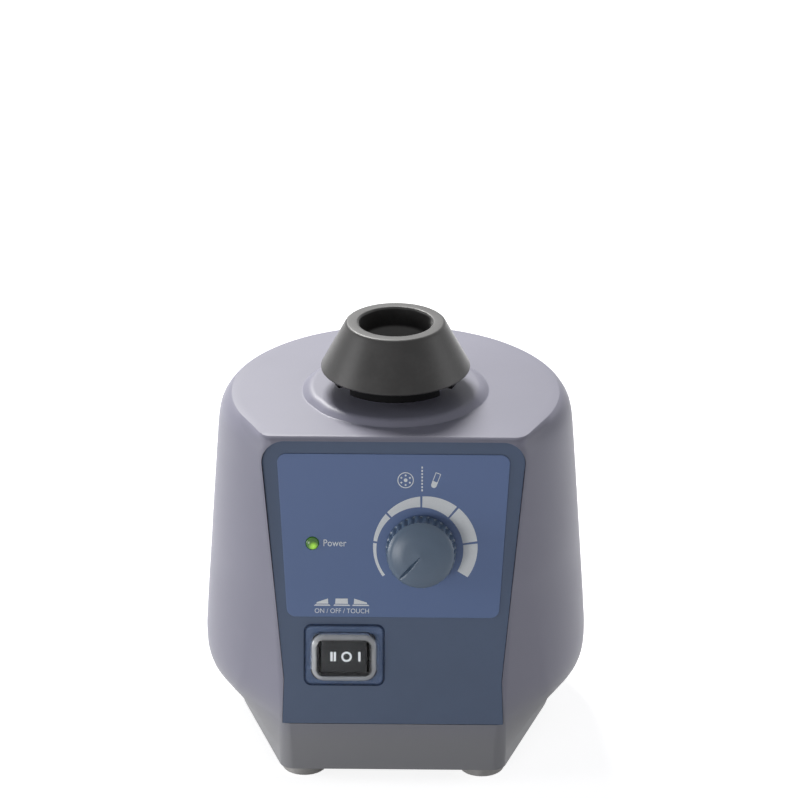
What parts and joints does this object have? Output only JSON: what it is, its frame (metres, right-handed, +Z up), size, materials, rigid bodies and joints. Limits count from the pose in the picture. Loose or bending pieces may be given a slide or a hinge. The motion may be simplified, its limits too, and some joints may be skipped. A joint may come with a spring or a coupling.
{
  "type": "vortex mixer",
  "caption": "Compact laboratory vortex mixer with a rubber tube cup on an orbiting crown, a sloping control panel with rocker and speed knob, and four rubber feet.",
  "frame": {"origin": "on the bench, under the middle of the bounding box", "axes": "+X to the user's right, +Y towards the back where the mains inlet is, +Z up through the cup"},
  "size_m": [0.13, 0.1262, 0.1428],
  "materials": {
    "blue_grey_paint": "satin blue-grey paint with a fine even texture",
    "slate_frame": "slate blue moulded plastic, fine texture",
    "overlay_blue": "printed polycarbonate overlay, dusty blue",
    "black_plastic": "black moulded plastic",
    "clear_boot": "clear soft waterproof boot",
    "knob_plastic": "grey-blue moulded knob",
    "lamp_green": "green translucent lamp lens",
    "cup_rubber": "dark grey moulded rubber with a soft bloom",
    "crown_plastic": "dark glass-filled plastic",
    "foot_rubber": "grey rubber, slightly dusty",
    "cast_alloy": "painted cast base",
    "zinc_steel": "zinc-plated steel",
    "ground_steel": "ground bright steel",
    "lamination_steel": "stacked electrical steel",
    "copper_winding": "varnished copper winding",
    "bright_copper": "bare copper",
    "sintered_bronze": "oil-soaked sintered bronze",
    "tinned_brass": "tinned brass",
    "alloy_silver": "die-cast or extruded aluminium",
    "board_green": "green circuit laminate",
    "capacitor_film": "ochre epoxy box",
    "block_green": "green terminal block",
    "fan_plastic": "dark nylon",
    "bobbin_nylon": "natural nylon",
    "fuse_glass": "glass tube with metal caps",
    "lead_brown": "PVC lead insulation"
  },
  "bodies": {
    "chassis": {"housing": "blue_grey_paint", "base_plate": "cast_alloy", "base_screws": "zinc_steel", "foot_front_left": "foot_rubber", "foot_front_right": "foot_rubber", "foot_rear_left": "foot_rubber", "foot_rear_right": "foot_rubber", "foot_screws": "zinc_steel", "front_panel": "slate_frame", "panel_overlay": "overlay_blue", "panel_screws": "zinc_steel", "switch_body": "black_plastic", "switch_terminals": "tinned_brass", "switch_boot": "clear_boot", "power_lamp": "lamp_green", "lamp_clip": "black_plastic", "pot_body": "alloy_silver", "pot_nut": "zinc_steel", "control_board": "board_green", "board_screws": "zinc_steel", "triac": "black_plastic", "heat_sink": "alloy_silver", "filter_capacitor": "capacitor_film", "terminal_block": "block_green", "mains_inlet": "black_plastic", "inlet_blades": "tinned_brass", "inlet_screws": "zinc_steel", "mains_leads": "lead_brown", "guide_posts": "ground_steel", "return_springs": "ground_steel", "touch_switch": "black_plastic", "touch_switch_bracket": "zinc_steel"},
    "rocker": {"rocker": "black_plastic"},
    "knob": {"speed_knob": "knob_plastic", "pot_shaft": "zinc_steel"},
    "fuse_carrier": {"fuse_drawer": "black_plastic", "fuse": "fuse_glass"},
    "plunger": {"touch_plunger": "black_plastic"},
    "carriage": {"carriage_plate": "alloy_silver", "carriage_bushes": "sintered_bronze", "lower_motor_bracket": "alloy_silver", "upper_motor_bracket": "alloy_silver", "motor_bushes": "sintered_bronze", "stator_stack": "lamination_steel", "coil_bobbin": "bobbin_nylon", "motor_coil": "copper_winding", "shading_rings": "bright_copper", "motor_screws": "zinc_steel"},
    "rotor": {"motor_shaft": "ground_steel", "rotor_core": "lamination_steel", "cooling_fan": "fan_plastic", "eccentric_hub": "alloy_silver", "hub_screw": "zinc_steel", "eccentric_pin": "ground_steel", "pin_clip": "zinc_steel", "bearing_inner_rings": "ground_steel", "bearing_balls": "ground_steel"},
    "cup": {"bearing_outer_rings": "ground_steel", "cup_platform": "crown_plastic", "cup_head": "cup_rubber"}
  },
  "joints": [
    {"name": "touch_press", "type": "slide", "parent": "chassis", "child": "carriage", "axis": [0, 0, -1], "range_m": [0, 0.002], "stiffness_N_per_m": 6000, "springref_m": -0.004, "deforming": ["return_springs"]},
    {"name": "plunger_press", "type": "slide", "parent": "chassis", "child": "plunger", "axis": [0, 0, -1], "range_m": [0, 0.002]},
    {"name": "rotor_spin", "type": "hinge", "parent": "carriage", "child": "rotor", "pos_m": [0, -0.00197, 0.06], "axis": [0, 0, 1], "continuous": true},
    {"name": "cup_orbit", "type": "hinge", "parent": "rotor", "child": "cup", "pos_m": [0, -0.00397, 0.12], "axis": [0, 0, 1], "continuous": true},
    {"name": "switch_rock", "type": "hinge", "parent": "chassis", "child": "rocker", "pos_m": [-0.0162, -0.05258, 0.04324], "axis": [0, 0.2113, 0.9774], "range_deg": [-10, 10]},
    {"name": "speed_turn", "type": "hinge", "parent": "chassis", "child": "knob", "pos_m": [0.0092, -0.04735, 0.07924], "axis": [0, -0.9774, 0.2113], "range_deg": [-270, 0]},
    {"name": "fuse_drawer_slide", "type": "slide", "parent": "chassis", "child": "fuse_carrier", "axis": [0, 1, 0], "range_m": [0, 0.016]}
  ],
  "couplings": [
    {"joint": "plunger_press", "follows": "touch_press", "ratio": 1},
    {"joint": "cup_orbit", "follows": "rotor_spin", "ratio": -1}
  ]
}
